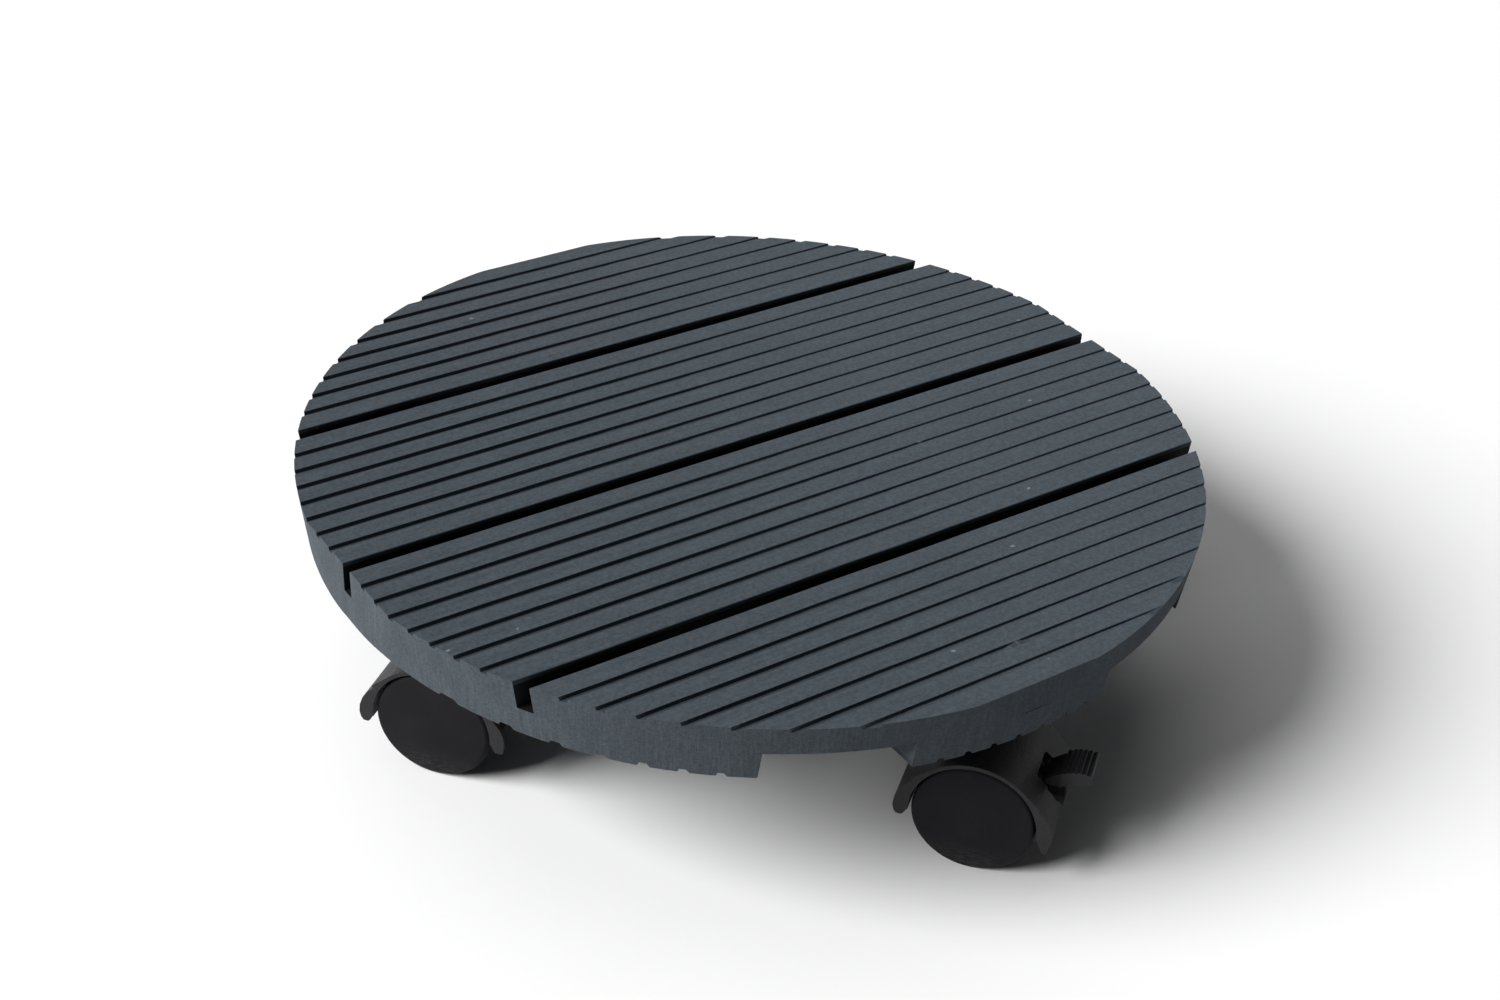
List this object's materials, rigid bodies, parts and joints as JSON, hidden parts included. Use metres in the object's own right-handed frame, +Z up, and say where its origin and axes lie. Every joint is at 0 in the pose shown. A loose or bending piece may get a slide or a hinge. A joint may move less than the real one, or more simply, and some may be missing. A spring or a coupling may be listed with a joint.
{
  "type": "plant pot caddy",
  "caption": "Low round slatted wooden caddy for a plant pot, with grooved dark grey boards over cross boards, on twin-wheel swivel casters, some with a ribbed brake pedal.",
  "frame": {"origin": "on the floor, under the centre of the round deck", "axes": "+X along the top boards, +Y along the cross boards, +Z up"},
  "size_m": [0.2956, 0.3206, 0.075],
  "materials": {
    "stained_wood": "slate grey stain, matte, with fine grain showing",
    "hood_plastic": "black moulded nylon with a fine spark texture",
    "wheel_plastic": "black smooth nylon, satin",
    "lever_plastic": "black nylon, satin",
    "zinc_steel": "zinc plated steel",
    "screw_steel": "zinc plated wood screws"
  },
  "bodies": {
    "deck": {"top_board_back": "stained_wood", "top_board_back_middle": "stained_wood", "top_board_front_middle": "stained_wood", "top_board_front": "stained_wood", "cross_board_left": "stained_wood", "cross_board_middle": "stained_wood", "cross_board_right": "stained_wood", "deck_screws": "screw_steel", "caster_plate_screws": "screw_steel", "front_plate": "zinc_steel", "front_king_pin": "zinc_steel", "front_washer": "zinc_steel", "left_plate": "zinc_steel", "left_king_pin": "zinc_steel", "left_washer": "zinc_steel", "back_plate": "zinc_steel", "back_king_pin": "zinc_steel", "back_washer": "zinc_steel", "right_plate": "zinc_steel", "right_king_pin": "zinc_steel", "right_washer": "zinc_steel"},
    "front_caster": {"front_hood": "hood_plastic", "front_axle": "zinc_steel", "front_brake_pin": "zinc_steel"},
    "front_wheel_near": {"front_wheel_near": "wheel_plastic"},
    "front_wheel_far": {"front_wheel_far": "wheel_plastic"},
    "front_brake": {"front_brake_lever": "lever_plastic"},
    "left_caster": {"left_hood": "hood_plastic", "left_axle": "zinc_steel"},
    "left_wheel_near": {"left_wheel_near": "wheel_plastic"},
    "left_wheel_far": {"left_wheel_far": "wheel_plastic"},
    "back_caster": {"back_hood": "hood_plastic", "back_axle": "zinc_steel", "back_brake_pin": "zinc_steel"},
    "back_wheel_near": {"back_wheel_near": "wheel_plastic"},
    "back_wheel_far": {"back_wheel_far": "wheel_plastic"},
    "back_brake": {"back_brake_lever": "lever_plastic"},
    "right_caster": {"right_hood": "hood_plastic", "right_axle": "zinc_steel"},
    "right_wheel_near": {"right_wheel_near": "wheel_plastic"},
    "right_wheel_far": {"right_wheel_far": "wheel_plastic"}
  },
  "joints": [
    {"name": "front_swivel", "type": "hinge", "parent": "deck", "child": "front_caster", "pos_m": [-0.0035, -0.1205, 0.051], "axis": [0, 0, 1], "continuous": true},
    {"name": "front_wheel_near_spin", "type": "hinge", "parent": "front_caster", "child": "front_wheel_near", "pos_m": [0.00327, -0.12917, 0.01925], "axis": [0.788, 0.6157, 0], "continuous": true},
    {"name": "front_wheel_far_spin", "type": "hinge", "parent": "front_caster", "child": "front_wheel_far", "pos_m": [0.00327, -0.12917, 0.01925], "axis": [0.788, 0.6157, 0], "continuous": true},
    {"name": "front_brake_press", "type": "hinge", "parent": "front_caster", "child": "front_brake", "pos_m": [0.0082, -0.13547, 0.02925], "axis": [0.788, 0.6157, 0], "range_deg": [0, 15]},
    {"name": "left_swivel", "type": "hinge", "parent": "deck", "child": "left_caster", "pos_m": [-0.1235, 0.0006, 0.051], "axis": [0, 0, 1], "continuous": true},
    {"name": "left_wheel_near_spin", "type": "hinge", "parent": "left_caster", "child": "left_wheel_near", "pos_m": [-0.11673, -0.00807, 0.01925], "axis": [0.788, 0.6157, 0], "continuous": true},
    {"name": "left_wheel_far_spin", "type": "hinge", "parent": "left_caster", "child": "left_wheel_far", "pos_m": [-0.11673, -0.00807, 0.01925], "axis": [0.788, 0.6157, 0], "continuous": true},
    {"name": "back_swivel", "type": "hinge", "parent": "deck", "child": "back_caster", "pos_m": [0.0035, 0.1205, 0.051], "axis": [0, 0, 1], "continuous": true},
    {"name": "back_wheel_near_spin", "type": "hinge", "parent": "back_caster", "child": "back_wheel_near", "pos_m": [-0.00327, 0.12917, 0.01925], "axis": [-0.788, -0.6157, 0], "continuous": true},
    {"name": "back_wheel_far_spin", "type": "hinge", "parent": "back_caster", "child": "back_wheel_far", "pos_m": [-0.00327, 0.12917, 0.01925], "axis": [-0.788, -0.6157, 0], "continuous": true},
    {"name": "back_brake_press", "type": "hinge", "parent": "back_caster", "child": "back_brake", "pos_m": [-0.0082, 0.13547, 0.02925], "axis": [-0.788, -0.6157, 0], "range_deg": [0, 15]},
    {"name": "right_swivel", "type": "hinge", "parent": "deck", "child": "right_caster", "pos_m": [0.1235, -0.0006, 0.051], "axis": [0, 0, 1], "continuous": true},
    {"name": "right_wheel_near_spin", "type": "hinge", "parent": "right_caster", "child": "right_wheel_near", "pos_m": [0.11673, 0.00807, 0.01925], "axis": [-0.788, -0.6157, 0], "continuous": true},
    {"name": "right_wheel_far_spin", "type": "hinge", "parent": "right_caster", "child": "right_wheel_far", "pos_m": [0.11673, 0.00807, 0.01925], "axis": [-0.788, -0.6157, 0], "continuous": true}
  ]
}
